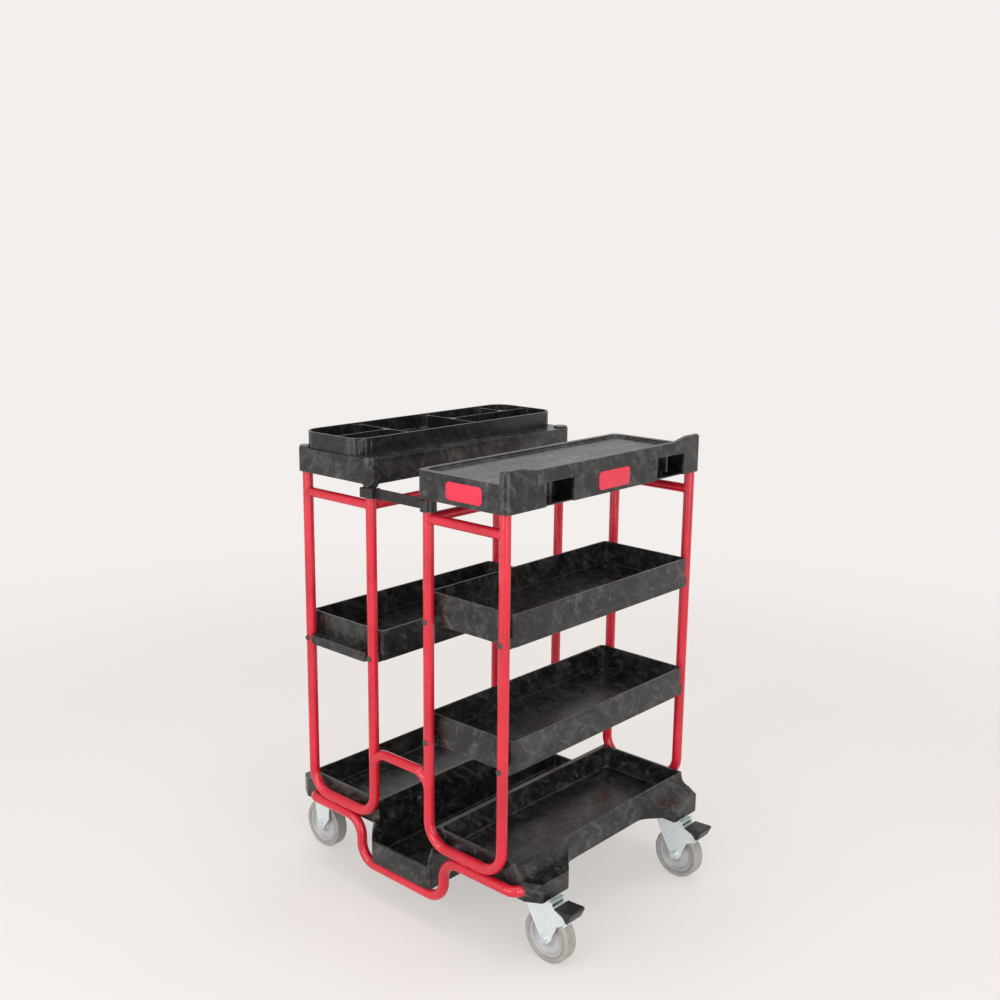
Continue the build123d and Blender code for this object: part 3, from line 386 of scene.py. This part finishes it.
def soften(node, width):
    """Rounds the hard edges of a CAD piece and shades its curved faces smoothly."""
    mesh = node.data
    cad_normals = mesh.attributes.get("custom_normal")
    if cad_normals is not None:
        mesh.attributes.remove(cad_normals)
    mesh.shade_smooth()
    weld = node.modifiers.new("weld", "WELD")
    weld.merge_threshold = MERGE_GAP
    if width:
        bevel = node.modifiers.new("bevel", "BEVEL")
        bevel.width = width
        bevel.segments = 2
        bevel.limit_method = "ANGLE"
        bevel.angle_limit = SHARP
        bevel.use_clamp_overlap = True
        bevel.harden_normals = True


def dress_cad_nodes(materials):
    for name, node in NODES.items():
        slot = SLOT_OF[name]
        node.data.materials.clear()
        node.data.materials.append(materials[slot])
        soften(node, {**MOULDED, **METAL}.get(slot, 0.0))


# ---- weld beads ---------------------------------------------------------
TUBE_R = 0.012
RAIL_R = 0.011
BEAD_R = 0.0017
BEAD_SIDES = 8
STITCH_PLACES = (0.50, 0.67)     # from bay post to outer post, where both tubes run straight
STITCH_HALF = 0.012
STITCH_ASIDE = 0.0038            # either side of the line where the two tubes touch
STITCH_RISE = 0.0002
RIPPLE = 0.13
RIPPLE_STATIONS = 4.0


def saddle(post, axis, sign, stations=88):
    """Closed line round a rail's end where it meets an upright post."""
    points = []
    for k in range(stations):
        turn = math.tau * k / stations
        across = RAIL_R * math.cos(turn)
        along = sign * math.sqrt(TUBE_R ** 2 - across ** 2)
        flat = (along, across) if axis == "x" else (across, along)
        points.append(Vector((post[0] + flat[0], post[1] + flat[1],
                              post[2] + RAIL_R * math.sin(turn))))
    return points


def stitch(start, end, stations=40):
    """Open straight line for a short weld between two tubes."""
    return [Vector(start).lerp(Vector(end), k / (stations - 1)) for k in range(stations)]


def add_bead(shape, line, closed):
    """A rippled bead along the line, added to the mesh being built."""
    rings = []
    count = len(line)
    for k, centre in enumerate(line):
        ahead = line[(k + 1) % count] if closed or k + 1 < count else centre
        behind = line[k - 1] if closed or k else centre
        forward = (ahead - behind).normalized()
        side = forward.cross(Vector((0.3, 0.5, 0.81))).normalized()
        other = forward.cross(side)
        end_taper = 1.0 if closed else min(1.0, 0.35 + 0.16 * min(k, count - 1 - k))
        radius = BEAD_R * end_taper * (1.0 + RIPPLE * math.sin(math.tau * k / RIPPLE_STATIONS + 0.4))
        rings.append([shape.verts.new(centre + radius * (math.cos(a) * side + math.sin(a) * other))
                      for a in (math.tau * j / BEAD_SIDES for j in range(BEAD_SIDES))])
    spans = count if closed else count - 1
    for k in range(spans):
        first, second = rings[k], rings[(k + 1) % count]
        for j in range(BEAD_SIDES):
            shape.faces.new((first[j], first[j - 1], second[j - 1], second[j]))
    if not closed:
        shape.faces.new(rings[0])
        shape.faces.new(rings[-1][::-1])


def make_welds(material):
    """Beads where rails meet posts, and stitches between the loops and the base tubes."""
    shape = bmesh.new()
    for hand in ("left", "right"):
        rail_low, rail_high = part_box(f"{hand}_cross_rails")
        rail_z = (rail_low.z + rail_high.z) / 2
        for end in ("front", "back"):
            low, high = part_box(f"{end}_{hand}_loop")
            y = (low.y + high.y) / 2
            posts = (low.x + TUBE_R, high.x - TUBE_R)
            for x, sign in zip(posts, (1, -1)):
                add_bead(shape, saddle((x, y, rail_z), "x", sign), True)
            bay_post, outer_post = posts if hand == "right" else posts[::-1]
            add_bead(shape, saddle((bay_post, y, rail_z), "y", 1 if y < 0 else -1), True)
            seam_z = low.z
            for part in STITCH_PLACES:
                x = bay_post + part * (outer_post - bay_post)
                for face in (-1, 1):
                    place = (y + face * STITCH_ASIDE, seam_z + STITCH_RISE)
                    line = stitch((x - STITCH_HALF, *place), (x + STITCH_HALF, *place))
                    add_bead(shape, line, False)
    bmesh.ops.recalc_face_normals(shape, faces=shape.faces)
    mesh = bpy.data.meshes.new("weld_beads")
    shape.to_mesh(mesh)
    shape.free()
    mesh.shade_smooth()
    mesh.materials.append(material)
    welds = bpy.data.objects.new("weld_beads", mesh)
    bpy.context.scene.collection.objects.link(welds)
    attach(welds, "frame")


# ---- pockets behind the worktop's hand grips, near-black as painted shade ---
BEAD_PROUD = 0.003               # the lip's beads stand this far out of the worktop's side
COLLAR_DROP = 0.003              # its collars reach this far below its skirt
DECK_SKIN = 0.004
HOLLOW_DROP = 0.0413             # its hollow lies this far below the top of its lip
GRIP_WINDOWS_Y = ((-0.224, -0.134), (0.165, 0.272))
POCKET_DEPTH = 0.058
POCKET_WALL = 0.003
POCKET_CORNER_R = 0.012
POCKET_GAP = 0.0005              # keeps a pocket clear of the worktop


def pocket_outline(front, back, y0, y1, radius):
    """Plan of a pocket from its front edge round its back and forward again."""
    points = [(front, y0)]
    for middle_y, start in ((y0 + radius, 270.0), (y1 - radius, 180.0)):
        for k in range(7):
            angle = math.radians(start - 15.0 * k)
            points.append((back + radius + radius * math.cos(angle),
                           middle_y + radius * math.sin(angle)))
    return points + [(front, y1)]


def add_slab(shape, outline, z0, z1):
    """A closed slab of the given plan, added to the mesh being built."""
    low = [shape.verts.new((x, y, z0)) for x, y in outline]
    high = [shape.verts.new((x, y, z1)) for x, y in outline]
    shape.faces.new(low)
    shape.faces.new(high)
    for k in range(len(outline)):
        shape.faces.new((low[k - 1], low[k], high[k], high[k - 1]))


def make_painted_shade_pockets(material):
    """Moulded pockets that close the grips' openings behind and below, in the darkest plastic as
    painted shade of a deep hollow.
    """
    low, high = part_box("worktop")
    front = high.x - BEAD_PROUD - DECK_SKIN - POCKET_GAP
    back = front - POCKET_DEPTH
    floor_z = low.z + COLLAR_DROP + POCKET_GAP
    top_z = high.z - HOLLOW_DROP
    shape = bmesh.new()
    for y0, y1 in GRIP_WINDOWS_Y:
        outer = pocket_outline(front, back - POCKET_WALL, y0 - POCKET_WALL, y1 + POCKET_WALL,
                               POCKET_CORNER_R + POCKET_WALL)
        inner = pocket_outline(front, back, y0, y1, POCKET_CORNER_R)
        add_slab(shape, outer + inner[::-1], floor_z + POCKET_WALL, top_z)
        add_slab(shape, outer, floor_z, floor_z + POCKET_WALL)
    bmesh.ops.recalc_face_normals(shape, faces=shape.faces)
    mesh = bpy.data.meshes.new("grip_pockets")
    shape.to_mesh(mesh)
    shape.free()
    mesh.materials.append(material)
    pockets = bpy.data.objects.new("grip_pockets", mesh)
    bpy.context.scene.collection.objects.link(pockets)
    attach(pockets, "frame")


make_camera()
make_world()
make_floor()
make_lights()
MATERIALS = make_materials()
dress_cad_nodes(MATERIALS)
make_welds(MATERIALS["red_powder_coat"])
# the darkest plastic here is painted shade, so the grips read as deep shadowed hollows
make_painted_shade_pockets(MATERIALS["black_bin_plastic"])
